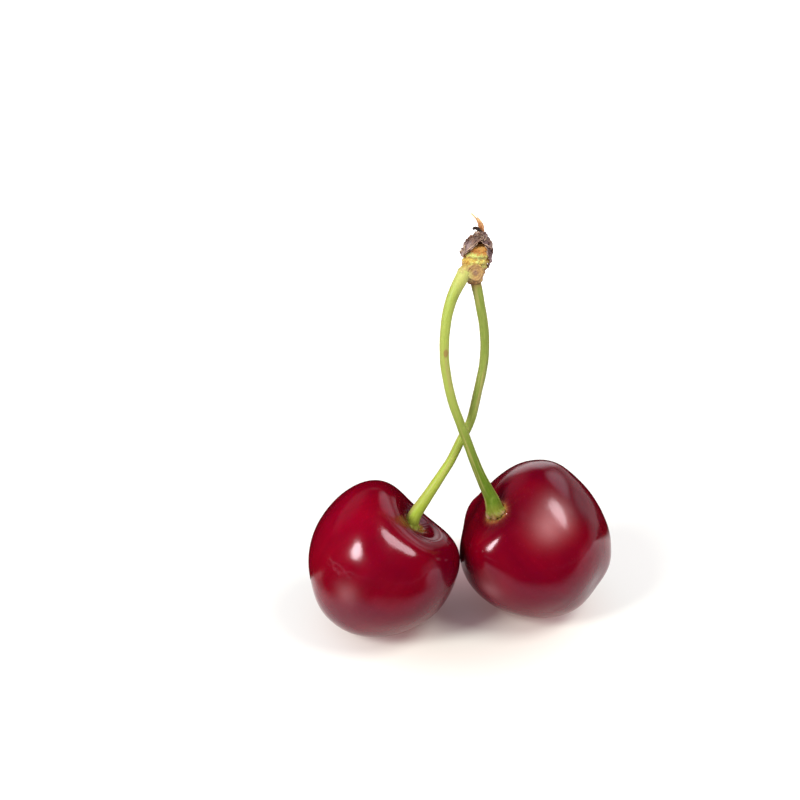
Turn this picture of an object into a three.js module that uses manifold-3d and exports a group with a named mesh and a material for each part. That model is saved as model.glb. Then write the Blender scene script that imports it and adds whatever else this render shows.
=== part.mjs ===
// A pair of sweet cherries on their stalks, still joined at the short woody spur they grew from.
// Millimetres, +Z up. The two fruits stand side by side along X on the ground plane z = 0,
// each on a small flat of its skin, and the stalks rise from them, cross once and meet at the spur.
// The origin is on the ground, midway between the fruits.

import * as THREE from 'three';
import { mergeVertices } from 'three/addons/utils/BufferGeometryUtils.js';
import Module from 'manifold-3d';

const wasm = await Module();
wasm.setup();

// ---- Driving dimensions ----

const seatGap = 0.3;              // clearance between one grown piece and the next
const groundZ = 0;

// Each fruit: how it lies (degrees), the half sizes of its body, the funnel round the stalk,
// and swells, flats and the blossom end's dimple (polar and around in radians).
const fruitForms = {
  left: {
    centre: [-13.92, -0.49, 12.77],
    lean: 39, heading: -6.2, turn: -103.7,
    halfThick: 13.04, halfWide: 12.84, halfTall: 13.86, topSwell: 0.14, taper: 0.087,
    funnelDepth: 6.2, funnelReach: 0.465, funnelPower: 1.52, saddle: 1.91,
    swells: [
      { polar: 0.74, around: -2.27, reach: 0.48, height: 0.68 },   // shoulder above the funnel
      { polar: 2.63, around: 0.42, reach: 0.45, height: 0.18 },
      { polar: 2.45, around: -1.17, reach: 0.34, height: -0.3 },
      { polar: 1.16, around: 1.47, reach: 0.45, height: -0.35 },   // cheek pressed flat
      { polar: 3.14, around: 0, reach: 0.28, height: -0.25 },      // dimple at the blossom end
      { polar: 0.89, around: -0.07, reach: 0.3, height: -0.32 },   // notch in the front lip
      { polar: 0.68, around: 0.3, reach: 0.29, height: 0.85 },     // and the two ridges beside it
      { polar: 0.72, around: -0.34, reach: 0.25, height: 0.26 },
    ],
  },
  right: {
    centre: [13.75, -0.22, 12.94],
    lean: 47.3, heading: 200.2, turn: 86.6,
    halfThick: 13.23, halfWide: 13.62, halfTall: 13.85, topSwell: 0.04, taper: 0.095,
    funnelDepth: 1.67, funnelReach: 0.563, funnelPower: 1.04, saddle: 1.33,
    swells: [
      { polar: 1.23, around: 2.03, reach: 0.38, height: 0.56 },
      { polar: 2.11, around: -0.58, reach: 0.36, height: 0.59 },   // lobe beside the blossom end
      { polar: 1.01, around: -2.95, reach: 0.22, height: 0.81 },   // shoulder behind the funnel
      { polar: 1.34, around: 1.05, reach: 0.56, height: -1.94 },   // cheek pressed flat
      { polar: 2.0, around: 0.1, reach: 0.24, height: -0.45 },     // dimple at the blossom end
      { polar: 2.17, around: 0.42, reach: 0.27, height: 0.36 },    // and the small boss beside it
      { polar: 0.57, around: -0.94, reach: 0.37, height: 0.65 },   // full front lip of the funnel
      { polar: 0.43, around: -1.11, reach: 0.27, height: 0.88 },
      { polar: 0.41, around: -1.37, reach: 0.2, height: 0.52 },
      { polar: 0.56, around: -0.73, reach: 0.25, height: 0.4 },
      { polar: 0.62, around: -2.68, reach: 0.36, height: -0.71 },
      { polar: 0.31, around: -0.44, reach: 0.16, height: 0.58 },
      { polar: 0.58, around: -0.14, reach: 0.25, height: -0.15 },
    ],
  },
};
const saddlePolar = 0.75;         // where the rim of the funnel dips most
const fruitSides = 44;
const fruitRings = 30;
const ringPull = 0.2;             // draws the rings of facets closer together in the funnel
const slabSize = 60;              // a block larger than a fruit, to cut its rest flat

// Each stalk: the points its centre line passes after it leaves the funnel, where it ends, how far
// it spreads above its foot, and the height of the foot above the floor of the funnel.
const stalkForms = {
  left: {
    through: [[-7.5, -0.95, 21.15], [-6.68, -0.7, 23.67], [-4.26, -0.15, 26.91], [-1.85, 0.7, 29.99],
      [0.05, 1.6, 33.1], [1.94, 2.6, 36.16], [2.95, 3.4, 39.4], [4.4, 4.3, 46.1], [4.5, 4.8, 50.5],
      [3.6, 5.4, 56.4]],
    end: [3.1, 5.75, 58.9],
    neck: { radius: 1.15, reach: 7, power: 1.35 }, topRadius: 0.74, footLift: 0.75,
  },
  right: {
    through: [[3.5, -2.6, 25.4], [1.57, -1.3, 30.63], [0.4, -0.6, 34.12], [-0.85, -0.1, 37.67],
      [-1.95, 0.55, 41.11], [-3.0, 1.7, 47.8], [-2.5, 3.0, 53.9], [-1.35, 4.1, 57.4]],
    end: [0.58, 5.1, 60.6],
    neck: { radius: 1.6, reach: 4, power: 0.9 }, topRadius: 1.05, footLift: 0.75,
  },
};
const stalkRadius = 0.7;
const footRadius = 1.7;           // the disc that seats on the fruit
const stalkSides = 10;
const stalkSteps = 50;
const frameSteps = 600;           // cross frames worked out along any curve

// The spur: a knobbly cushion that stands on the two stalks. Profile points are radius and height.
const spurCentre = [3.0, 6.0, 62.6];
const spurLean = 0.13;            // radians towards +X
const spurProfile = [[0, -2.7], [0.9, -2.6], [1.25, -2.2], [1.45, -1.5], [1.6, -0.8], [1.75, -0.2],
  [1.85, 0.4], [1.9, 1.0], [1.85, 1.6], [1.72, 2.1], [1.5, 2.6], [1.1, 2.95], [0.6, 3.15], [0, 3.2]];
const spurSides = 26;
const spurSteps = 24;
const fold = { depth: 0.1, pitch: 1.05, slant: 1.6, facing: 2.4 };
const scars = [                   // round scars of shed fruits: facing in degrees, height, size
  { facing: -102, height: -1.25, size: 1.3 },
  { facing: 35, height: -0.9, size: 1.0 },
  { facing: 140, height: -0.5, size: 0.85 },
];
const scarProfile = [[0, -1.3], [1, -1.2], [1, 0.1], [0.88, 0.32], [0.7, 0.3], [0.56, 0.14],
  [0.4, 0.16], [0.28, 0.3], [0, 0.36]];                 // radius for a size of 1, and height
const scarReach = 1.75;           // from the spur's axis to the foot of a scar's rim
const scarSides = 16;
const collars = {                 // sleeves from each stalk's end to the heart of the cushion
  left: { lip: 0.98, root: 1.35 },
  right: { lip: 1.05, root: 1.0 },
};
const heartDrop = 0.6;            // below the spur's centre, where the collars meet
const collarSides = 14;
const collarSteps = 8;
const collarBead = { height: 0.12, share: 0.16, reach: 0.08 };

// The bud scales: dry overlapping shingles over the top of the spur, in whorls. turns are degrees
// about the spur, from and to are degrees down from its top, spread is half a scale's width.
const scaleDome = { radius: 2.1, height: 3.0, base: 1.0, taper: 1.3 };
const scaleThickness = 0.6;
const coreLowest = 2.5;
const coreProud = 0.3;
const coreArcs = 8;
const coreSides = 20;
const overlapTilt = 0.17;         // each scale lifts over the next one round the whorl
const whorls = [
  { turns: [186, 350, 40, 90, 138], from: 34, to: [95, 118, 104, 100, 98], spread: 42, layer: 0,
    flare: 0.2 },
  { turns: [200, 262, 322, 15, 75, 135], from: 16, to: [84, 46, 64, 92, 80, 76], spread: 37,
    layer: 0.2, flare: 0.16 },
  { turns: [222, 296, 350, 60, 155], from: 8, to: [63, 36, 62, 50, 50], spread: 34, layer: 0.36,
    flare: 0.16 },
  { turns: [190, 270, 350, 75], from: 4, to: [31, 24, 34, 32], spread: 30, layer: 0.52, flare: 0.1 },
];

// The wisp: the dried end of a bract, a thin forked strip at the very top.
const wispLine = [[3.68, 6.2, 68.26], [3.49, 6.2, 68.74], [3.08, 6.3, 69.46], [2.59, 6.35, 70.04],
  [2.1, 6.4, 70.5]];
const wispProng = [[3.7, 6.1, 68.7], [3.4, 6.1, 69.4], [3.05, 6.05, 69.95]];
const wispWidth = { root: 0.85, tip: 0.6 };
const wispThickness = 0.6;

// ---- Materials ----

const cherrySkin = new THREE.MeshStandardMaterial({ color: 0x7a0618, roughness: 0.16, metalness: 0 });
const stalkGreen = new THREE.MeshStandardMaterial({ color: 0x8fae2c, roughness: 0.5, metalness: 0 });
const spurYellow = new THREE.MeshStandardMaterial({ color: 0xc98f3c, roughness: 0.8, metalness: 0 });
const scaleBrown = new THREE.MeshStandardMaterial({ color: 0x5d3f43, roughness: 0.85, metalness: 0 });
const wispTan = new THREE.MeshStandardMaterial({ color: 0xb9703f, roughness: 0.8, metalness: 0 });

// ---- Helpers ----

const radians = THREE.MathUtils.degToRad;
const { lerp, smoothstep } = THREE.MathUtils;
const vector = (p) => new THREE.Vector3(...p);
const bell = (x, reach) => Math.exp(-((x / reach) ** 2));

// The direction at an angle from +Z (polar) and an angle about it (around).
const direction = (polar, around) => new THREE.Vector3(
  Math.sin(polar) * Math.cos(around), Math.sin(polar) * Math.sin(around), Math.cos(polar));

// Moves every vertex of a geometry to where a function puts it.
function reshape(geometry, place) {
  const points = geometry.attributes.position;
  const p = new THREE.Vector3();
  for (let i = 0; i < points.count; i += 1) {
    const moved = place(p.fromBufferAttribute(points, i));
    points.setXYZ(i, moved.x, moved.y, moved.z);
  }
  return geometry;
}

function solid(geometry) {
  const bare = geometry.clone();
  bare.deleteAttribute('normal');
  bare.deleteAttribute('uv');
  const merged = mergeVertices(bare, 1e-4);
  return new wasm.Manifold(new wasm.Mesh({
    numProp: 3,
    vertProperties: new Float32Array(merged.attributes.position.array),
    triVerts: new Uint32Array(merged.index.array),
  }));
}

function geometryOf(body) {
  const faces = body.getMesh();
  const geometry = new THREE.BufferGeometry();
  geometry.setAttribute('position', new THREE.BufferAttribute(new Float32Array(faces.vertProperties), 3));
  geometry.setIndex(new THREE.BufferAttribute(new Uint32Array(faces.triVerts), 1));
  geometry.computeVertexNormals();
  return geometry;
}

const joined = (geometries) => geometries.map(solid).reduce((all, one) => all.add(one));

function named(name, geometry, material) {
  const mesh = new THREE.Mesh(geometry, material);
  mesh.name = name;
  return mesh;
}

// ---- Fruits ----

// The skin: an unequal ellipsoid that widens towards the stalk, with a funnel sunk into its top,
// a rim that dips fore and aft of the funnel, and the swells and dimples.
function skinPoint(polar, around, form) {
  const ring = Math.sin(polar);
  const up = Math.cos(polar);
  const widen = 1 + form.taper * up;
  const dip = (polar / saddlePolar) ** 2;
  const p = new THREE.Vector3(
    form.halfThick * ring * Math.cos(around) * widen,
    form.halfWide * ring * Math.sin(around) * widen,
    form.halfTall * up + form.topSwell * up * up);
  p.z -= form.funnelDepth * Math.exp(-((polar / form.funnelReach) ** form.funnelPower));
  p.z -= form.saddle * Math.cos(around) ** 2 * dip * Math.exp(1 - dip);
  const outward = direction(polar, around);
  for (const swell of form.swells) {
    const away = outward.distanceTo(direction(swell.polar, swell.around));
    p.addScaledVector(outward, swell.height * bell(away, swell.reach));
  }
  return p;
}

// A frame at the fruit's centre whose +Z is its stalk axis.
function fruitSeat(form) {
  const seat = new THREE.Group();
  seat.position.set(...form.centre);
  seat.rotation.set(0, radians(form.lean), radians(form.heading), 'ZYX');
  seat.updateMatrixWorld(true);
  return seat;
}

function makeFruit(name, form) {
  const ball = reshape(new THREE.SphereGeometry(1, fruitSides, fruitRings), (p) => {
    const even = Math.acos(THREE.MathUtils.clamp(p.y, -1, 1));
    const polar = even - ringPull * Math.sin(even) * (1 + Math.cos(even));
    return skinPoint(polar, Math.atan2(-p.z, p.x), form);
  });
  const fruit = named(name, ball, cherrySkin);
  fruit.rotation.z = radians(form.turn);
  const seat = fruitSeat(form);
  seat.add(fruit);
  seat.updateMatrixWorld(true);
  const below = new THREE.BoxGeometry(slabSize, slabSize, slabSize);
  below.translate(form.centre[0], form.centre[1], groundZ - slabSize / 2);
  below.applyMatrix4(fruit.matrixWorld.clone().invert());
  fruit.geometry = geometryOf(solid(ball).subtract(solid(below)));
  return seat;
}

// ---- Stalks ----

// A round bar along a curve. spread turns even steps into shares of the length, radiusAt gives the
// radius from the length run and the share.
function tube(line, sides, steps, spread, radiusAt) {
  const length = line.getLength();
  const frames = line.computeFrenetFrames(frameSteps, false);
  return reshape(new THREE.CylinderGeometry(1, 1, 1, sides, steps), (p) => {
    const share = spread(0.5 + p.y);
    const radius = radiusAt(share * length, share);
    const k = Math.round(share * frameSteps);
    return line.getPointAt(share)
      .addScaledVector(frames.normals[k], radius * p.z)
      .addScaledVector(frames.binormals[k], radius * p.x);
  });
}

// A stalk leaves the funnel along the fruit's axis and then follows its own points.
function stalkLine(fruit, form) {
  const toPart = fruitSeat(fruit).matrixWorld;
  const floor = fruit.halfTall + fruit.topSwell - fruit.funnelDepth + form.footLift;
  const root = [floor, floor + 0.6].map((z) => new THREE.Vector3(0, 0, z).applyMatrix4(toPart));
  const points = [...root, ...form.through.map(vector), vector(form.end)];
  return new THREE.CatmullRomCurve3(points, false, 'centripetal');
}

// From the fruit up: the foot disc with its sloping underside, the spreading neck, the slim
// shank, and a club at the spur.
function stalkRadiusAt(form, run, share) {
  const { radius, reach, power } = form.neck;
  const disc = Math.max(0, footRadius - radius) * (1 - smoothstep(run, 0.7, 1.3));
  const under = 1.0 * (1 - smoothstep(run, 0, 0.6));
  const neck = (radius - stalkRadius) * Math.exp(-((run / reach) ** power));
  const club = (form.topRadius - stalkRadius) * share ** 6;
  return stalkRadius + disc - under + neck + club;
}

function makeStalk(name, line, form) {
  const closerAtFoot = (share) => share ** 1.6;
  return named(name, tube(line, stalkSides, stalkSteps, closerAtFoot,
    (run, share) => stalkRadiusAt(form, run, share)), stalkGreen);
}

// ---- Spur ----

const onSpur = (geometry) => geometry.rotateY(spurLean).translate(...spurCentre);

// A body of revolution about +Z from points of radius and height.
function turned(points, sides, steps) {
  const outline = new THREE.SplineCurve(points.map(([r, z]) => new THREE.Vector2(r, z)));
  const profile = outline.getPoints(steps).map((p) => new THREE.Vector2(Math.max(0, p.x), p.y));
  profile[0].x = 0;
  profile[steps].x = 0;
  return new THREE.LatheGeometry(profile, sides).rotateX(Math.PI / 2);
}

// The cushion, with slanting folds round it.
function spurCushion() {
  return reshape(turned(spurProfile, spurSides, spurSteps), (p) => {
    const around = Math.atan2(p.y, p.x);
    const phase = 2 * Math.PI * p.z / fold.pitch + fold.slant * Math.cos(around - fold.facing);
    const reach = Math.hypot(p.x, p.y);
    const swell = 1 + fold.depth * Math.sin(phase) * Math.min(1, reach) / Math.max(reach, 0.1);
    return new THREE.Vector3(p.x * swell, p.y * swell, p.z);
  });
}

// A round scar: a stub whose face carries a rim, a groove and a middle boss.
function scarStub({ facing, height, size }) {
  const stub = turned(scarProfile.map(([r, z]) => [r * size, z]), scarSides, scarSides);
  stub.rotateY(Math.PI / 2).translate(scarReach, 0, 0).rotateZ(radians(facing));
  return onSpur(stub.translate(0, 0, height));
}

// A collar meets the end of a stalk and carries on along the stalk's line into the cushion.
function collar(line, form) {
  const along = line.getTangentAt(1);
  const lip = line.getPointAt(1).addScaledVector(along, seatGap);
  const heart = vector(spurCentre).add(new THREE.Vector3(0, 0, -heartDrop));
  const inside = lip.clone().addScaledVector(along, lip.distanceTo(heart) * 0.35);
  const route = new THREE.CatmullRomCurve3([lip, inside, heart], false, 'centripetal');
  return tube(route, collarSides, collarSteps, (share) => share, (run, share) => {
    const bead = collarBead.height * bell(share - collarBead.share, collarBead.reach);
    return lerp(form.lip, form.root, smoothstep(share, 0, 0.6)) + bead;
  });
}

function makeSpur(lines) {
  const pieces = [onSpur(spurCushion()), ...scars.map(scarStub),
    collar(lines.left, collars.left), collar(lines.right, collars.right)];
  return named('spur', geometryOf(joined(pieces)), spurYellow);
}

// ---- Bud scales ----

// A point over the dome of scales, so far down from its top and out from it.
function domePoint(polar, around, out) {
  const { radius, height, base, taper } = scaleDome;
  const reach = (radius + out) * Math.sin(polar) ** taper;
  return new THREE.Vector3(reach * Math.cos(around), reach * Math.sin(around),
    base + (height + out) * Math.cos(polar));
}

// One shingle: a thin block wrapped on the dome, widest at its middle, blunt at its free end.
function shingle({ turn, from, to, spread, layer, flare }) {
  const block = new THREE.BoxGeometry(2, 1, 1, 6, 4, 1);
  return reshape(block, (p) => {
    const down = 0.5 - p.y;
    const across = p.x;
    const outline = 0.62 + 0.38 * Math.sin(Math.PI * Math.min(1, down + 0.25)) - 0.3 * down ** 3;
    const polar = radians(lerp(from, to, down * (1 - 0.16 * across * across * down)));
    const around = radians(turn) + across * radians(spread) * outline / Math.max(Math.sin(polar), 0.45);
    const out = layer + flare * down ** 2 + overlapTilt * across + scaleThickness * (p.z + 0.5);
    return domePoint(polar, around, out);
  });
}

// The core under the shingles: the top of the dome, a little proud of their inner faces.
function scaleCore() {
  const rim = Math.acos((coreLowest - scaleDome.base) / scaleDome.height);
  const arc = [];
  for (let k = 0; k <= coreArcs; k += 1) {
    const p = domePoint(rim * (1 - k / coreArcs), 0, coreProud);
    arc.push([p.x, p.z]);
  }
  return turned([[0, arc[0][1]], ...arc], coreSides, coreSides);
}

function makeBudScales() {
  const shingles = whorls.flatMap(({ turns, to, ...shape }) => turns.map(
    (turn, k) => onSpur(shingle({ turn, to: to[k], ...shape }))));
  const room = spurProfile.map(([r, z]) => [r > 0 ? r + seatGap : 0, z + Math.sign(z) * seatGap]);
  const body = joined([...shingles, onSpur(scaleCore())])
    .subtract(solid(onSpur(turned(room, coreSides, coreSides))));
  return named('bud_scales', geometryOf(body), scaleBrown);
}

// ---- Wisp ----

function strip(points, widthAt) {
  const line = new THREE.CatmullRomCurve3(points.map(vector), false, 'centripetal');
  const side = new THREE.Vector3(0.9, -0.4, 0.2).normalize();
  return reshape(new THREE.BoxGeometry(1, 1, 1, 1, 7, 1), (p) => {
    const share = 0.5 + p.y;
    const along = line.getTangentAt(share);
    const face = new THREE.Vector3().crossVectors(side, along).normalize();
    const across = new THREE.Vector3().crossVectors(along, face);
    return line.getPointAt(share)
      .addScaledVector(across, p.x * widthAt(share))
      .addScaledVector(face, p.z * wispThickness);
  });
}

function makeWisp() {
  const main = strip(wispLine, (share) => lerp(wispWidth.root, wispWidth.tip, share));
  const prong = strip(wispProng, () => wispWidth.tip);
  return named('dry_wisp', geometryOf(joined([main, prong])), wispTan);
}

// ---- The pair ----

const part = new THREE.Group();
const lines = {};
for (const side of ['left', 'right']) {
  lines[side] = stalkLine(fruitForms[side], stalkForms[side]);
  part.add(makeFruit(`cherry_${side}`, fruitForms[side]));
  part.add(makeStalk(`stalk_${side}`, lines[side], stalkForms[side]));
}
part.add(makeSpur(lines));
part.add(makeBudScales());
part.add(makeWisp());

export default part;
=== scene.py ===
import bpy
import numpy as np
from mathutils import Matrix


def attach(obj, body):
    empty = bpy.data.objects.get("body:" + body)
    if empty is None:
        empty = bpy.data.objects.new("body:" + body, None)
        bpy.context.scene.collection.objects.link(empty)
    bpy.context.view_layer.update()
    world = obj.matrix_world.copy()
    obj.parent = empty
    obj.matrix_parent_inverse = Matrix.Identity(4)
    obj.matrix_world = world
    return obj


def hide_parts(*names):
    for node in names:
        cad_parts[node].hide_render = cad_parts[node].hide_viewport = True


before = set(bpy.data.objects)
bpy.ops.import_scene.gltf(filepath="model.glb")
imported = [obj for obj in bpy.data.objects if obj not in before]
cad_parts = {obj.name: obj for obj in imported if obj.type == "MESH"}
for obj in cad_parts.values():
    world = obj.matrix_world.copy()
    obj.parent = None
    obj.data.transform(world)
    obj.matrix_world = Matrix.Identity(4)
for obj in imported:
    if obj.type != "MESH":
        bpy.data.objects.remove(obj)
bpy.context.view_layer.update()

# A pair of sweet cherries on crossed stalks. Every size below is in millimetres and every angle
# in degrees unless a note says radians. Meshes are scaled to metres as they are made.
mm = 0.001
print("frame loaded:", ", ".join(sorted(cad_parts)))


def bell(x, reach):
    # one at x = 0, falling off as exp(-(x / reach)^2)
    return np.exp(-(x / reach) ** 2)


def easing(x, low, high):
    # zero below low, one above high, 3t^2 - 2t^3 between
    t = np.clip((x - low) / (high - low), 0, 1)
    return t * t * (3 - 2 * t)


def unit(v):
    return v / np.maximum(np.linalg.norm(v, axis=-1, keepdims=True), 1e-12)


def direction(polar, around):
    # the way at an angle from +Z and an angle about it, in radians
    return np.stack((np.sin(polar) * np.cos(around), np.sin(polar) * np.sin(around),
                     np.cos(polar) * np.ones_like(around)), -1)


def turn(axis, degrees):
    return np.array(Matrix.Rotation(np.radians(degrees), 3, axis))


def waves(points, size, seed, count=24):
    # sines along random ways added up, each near one wave per size; its usual height is one
    draw = np.random.default_rng(seed)
    ways = unit(draw.normal(size=(count, 3))) * draw.uniform(0.6, 1.5, (count, 1)) * 2 * np.pi / size
    total = np.zeros(points.shape[:-1])
    for way, phase in zip(ways, draw.uniform(0, 2 * np.pi, count)):
        total += np.sin(points @ way + phase)
    return total / np.sqrt(count / 2)


def curveThrough(points, steps, samples=80):
    # centripetal Catmull-Rom curve through the points, then evened out by length; steps is the
    # count of points wanted, or the share of the length at each of them
    p = np.array(points, float)
    p = np.vstack((2 * p[0] - p[1], p, 2 * p[-1] - p[-2]))
    knots = np.concatenate(([0], np.cumsum(np.linalg.norm(np.diff(p, axis=0), axis=1) ** 0.5)))
    mix = lambda t, low, high, a, b: ((high - t) * a + (t - low) * b) / (high - low)
    fine = []
    for k in range(1, len(p) - 2):
        t = np.linspace(knots[k], knots[k + 1], samples, endpoint=False)[:, None]
        first = [mix(t, knots[j], knots[j + 1], p[j], p[j + 1]) for j in (k - 1, k, k + 1)]
        second = [mix(t, knots[k + j - 1], knots[k + j + 1], first[j], first[j + 1]) for j in (0, 1)]
        fine.append(mix(t, knots[k], knots[k + 1], *second))
    fine = np.vstack(fine + [p[-2:-1]])
    run = np.concatenate(([0], np.cumsum(np.linalg.norm(np.diff(fine, axis=0), axis=1))))
    even = np.linspace(0, run[-1], steps) if np.isscalar(steps) else steps * run[-1]
    return np.stack([np.interp(even, run, fine[:, k]) for k in range(3)], -1), even


def crossWays(line):
    # two ways square to a line and to each other, at each of its points
    along = unit(np.gradient(line, axis=0))
    sideways = unit(np.cross(along, (0.15, 1.0, 0.1)))
    return sideways, np.cross(sideways, along)


def spokes(line, sides):
    # the ways out of a line, all round each of its points
    sideways, across = crossWays(line)
    around = np.linspace(0, 2 * np.pi, sides, endpoint=False)
    return around, (np.cos(around)[None, :, None] * sideways[:, None]
                    + np.sin(around)[None, :, None] * across[:, None])


def gridNormals(rings):
    # cross product of the way to the next ring and the way round the ring
    down = np.gradient(rings, axis=0)
    east = np.roll(rings, -1, 1) - np.roll(rings, 1, 1)
    return unit(np.cross(down, east))


def closedSkin(rings, marks=None):
    # rings is n by m points; a fan to the middle of the first and of the last ring closes it
    n, m = rings.shape[:2]

    def flat(grid):
        grid = grid.reshape(n, m, -1)
        return np.concatenate((grid[0].mean(0)[None], grid.reshape(n * m, -1), grid[-1].mean(0)[None]))

    i, j = np.meshgrid(np.arange(n - 1), np.arange(m), indexing="ij")
    at = lambda a, b: 1 + a * m + b % m
    quads = np.stack((at(i, j), at(i + 1, j), at(i + 1, j + 1), at(i, j + 1)), -1).reshape(-1, 4)
    k = np.arange(m)
    top = np.stack((0 * k, at(0, k), at(0, k + 1)), -1)
    foot = np.stack((at(n - 1, k), 0 * k + n * m + 1, at(n - 1, k + 1)), -1)
    return {"points": flat(rings), "quads": quads, "fans": np.vstack((top, foot)),
            "marks": {name: flat(grid) for name, grid in (marks or {}).items()}}


def joinSkins(skins):
    # several closed skins as the shells of one mesh
    start = np.cumsum([0] + [len(s["points"]) for s in skins[:-1]])
    gather = lambda key: np.vstack([s[key] + k for s, k in zip(skins, start)])
    return {"points": np.vstack([s["points"] for s in skins]),
            "quads": gather("quads"), "fans": gather("fans"),
            "marks": {name: np.vstack([s["marks"][name] for s in skins]) for name in skins[0]["marks"]}}


def setMarks(mesh, marks):
    # numbers kept on the points, which the materials read by name
    for name, values in marks.items():
        kind, key = ("FLOAT", "value") if values.shape[-1] == 1 else ("FLOAT_VECTOR", "vector")
        mark = mesh.attributes.new(name, kind, "POINT")
        mark.data.foreach_set(key, values.astype(np.float32).ravel())


def skinMesh(name, skin, scale=mm):
    mesh = bpy.data.meshes.new(name)
    points, quads, fans = skin["points"], skin["quads"], skin["fans"]
    mesh.vertices.add(len(points))
    mesh.vertices.foreach_set("co", (points * scale).astype(np.float32).ravel())
    corners = np.concatenate((quads.ravel(), fans.ravel())).astype(np.int32)
    totals = np.concatenate((np.full(len(quads), 4), np.full(len(fans), 3)))
    mesh.loops.add(len(corners))
    mesh.loops.foreach_set("vertex_index", corners)
    mesh.polygons.add(len(totals))
    mesh.polygons.foreach_set("loop_start", (np.cumsum(totals) - totals).astype(np.int32))
    mesh.update(calc_edges=True)
    mesh.validate()
    mesh.polygons.foreach_set("use_smooth", np.ones(len(mesh.polygons), bool))
    setMarks(mesh, skin["marks"])
    return mesh


def setOut(name, data):
    thing = bpy.data.objects.new(name, data)
    bpy.context.scene.collection.objects.link(thing)
    return thing


def makePiece(name, skin, material):
    mesh = skinMesh(name, skin)
    piece = setOut(name, mesh)
    mesh.materials.append(material)
    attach(piece, "root")
    print(f"made {name}: {sum(len(p.vertices) - 2 for p in mesh.polygons)} triangles")
    return piece


class Finish:
    # a Principled material, short ways to add nodes to it, and a palette that gives each layer of
    # paint its colour and its greatest share
    def __init__(self, name, palette=None, **sockets):
        self.material = bpy.data.materials.new(name)
        self.material.use_nodes = True
        self.tree = self.material.node_tree
        self.shader = self.tree.nodes["Principled BSDF"]
        self.palette = palette
        for key, value in sockets.items():
            self.shader.inputs[socketNames[key]].default_value = value

    def add(self, kind, inputs=None, **settings):
        node = self.tree.nodes.new("ShaderNode" + kind)
        for key, value in settings.items():
            setattr(node, key, value)
        for key, value in (inputs or {}).items():
            self.feed(node.inputs[key], value)
        return node

    def feed(self, socket, value):
        if isinstance(value, bpy.types.NodeSocket):
            self.tree.links.new(value, socket)
        elif isinstance(value, str):
            socket.default_value = paint(value)
        else:
            socket.default_value = value

    def read(self, name, output="Fac"):
        return self.add("Attribute", attribute_name=name).outputs[output]

    def place(self):
        return self.add("TexCoord").outputs["Object"]

    def noise(self, where, waveSize, detail=2.0, rough=0.5, warp=0.0):
        # where is in metres when it comes from place(), so the scale is one over the wave's metres
        node = self.add("TexNoise", {"Vector": where, "Scale": 1 / waveSize, "Detail": detail,
                                     "Roughness": rough, "Distortion": warp})
        return node.outputs["Fac"]

    def ramp(self, value, low, high, toLow=0.0, toHigh=1.0):
        node = self.add("MapRange", {"Value": value, "From Min": low, "From Max": high,
                                     "To Min": toLow, "To Max": toHigh}, interpolation_type="SMOOTHSTEP")
        return node.outputs["Result"]

    def math(self, kind, a, b=0.0):
        node = self.add("Math", operation=kind)
        self.feed(node.inputs[0], a)
        self.feed(node.inputs[1], b)
        return node.outputs[0]

    def plus(self, a, b, times):
        # a + times b
        return self.math("ADD", a, self.math("MULTIPLY", b, times))

    def blend(self, share, a, b):
        node = self.add("Mix", data_type="RGBA")
        self.feed(node.inputs[0], share)
        self.feed(node.inputs[6], a)
        self.feed(node.inputs[7], b)
        return node.outputs[2]

    def layer(self, under, name, value, low, high):
        # a palette colour that comes in as the value runs from low to high
        colour, share = self.palette[name]
        return self.blend(self.ramp(value, low, high, 0.0, share), under, colour)

    def wash(self, under, name, value):
        # a palette colour laid on in proportion to the value
        colour, share = self.palette[name]
        return self.blend(self.math("MULTIPLY", value, share), under, colour)

    def bump(self, height, distance):
        node = self.add("Bump", {"Height": height, "Distance": distance * mm, "Strength": 1.0})
        self.feed(self.shader.inputs["Normal"], node.outputs["Normal"])

    def colour(self, value):
        self.feed(self.shader.inputs["Base Color"], value)

    def roughness(self, value):
        self.feed(self.shader.inputs["Roughness"], value)


socketNames = {
    "roughness": "Roughness", "coat": "Coat Weight", "coatRoughness": "Coat Roughness",
    "specular": "Specular IOR Level", "specularTint": "Specular Tint", "ior": "IOR",
    "glow": "Subsurface Weight", "glowReach": "Subsurface Radius", "glowScale": "Subsurface Scale",
    "sheen": "Sheen Weight", "sheenRoughness": "Sheen Roughness",
}


def paint(code):
    # a screen colour such as "8c0418" as the linear colour that the shader wants
    c = np.array([int(code[k:k + 2], 16) for k in (0, 2, 4)]) / 255
    linear = np.where(c <= 0.04045, c / 12.92, ((c + 0.055) / 1.055) ** 2.4)
    return (*linear, 1.0)


cameraForm = {
    "place": (-44.786, -160.066, 115.0), "pitch": 24.0, "heading": 12.006, "lens": 50, "sensor": 36,
    "clip": (0.01, 30),               # metres
}

eye = setOut("camera", bpy.data.cameras.new("camera"))
eye.data.lens = cameraForm["lens"]
eye.data.sensor_width = cameraForm["sensor"]
eye.data.clip_start, eye.data.clip_end = cameraForm["clip"]
eye.location = np.array(cameraForm["place"]) * mm
eye.rotation_euler = np.radians((90 - cameraForm["pitch"], 0, -cameraForm["heading"]))
bpy.context.scene.camera = eye


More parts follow.
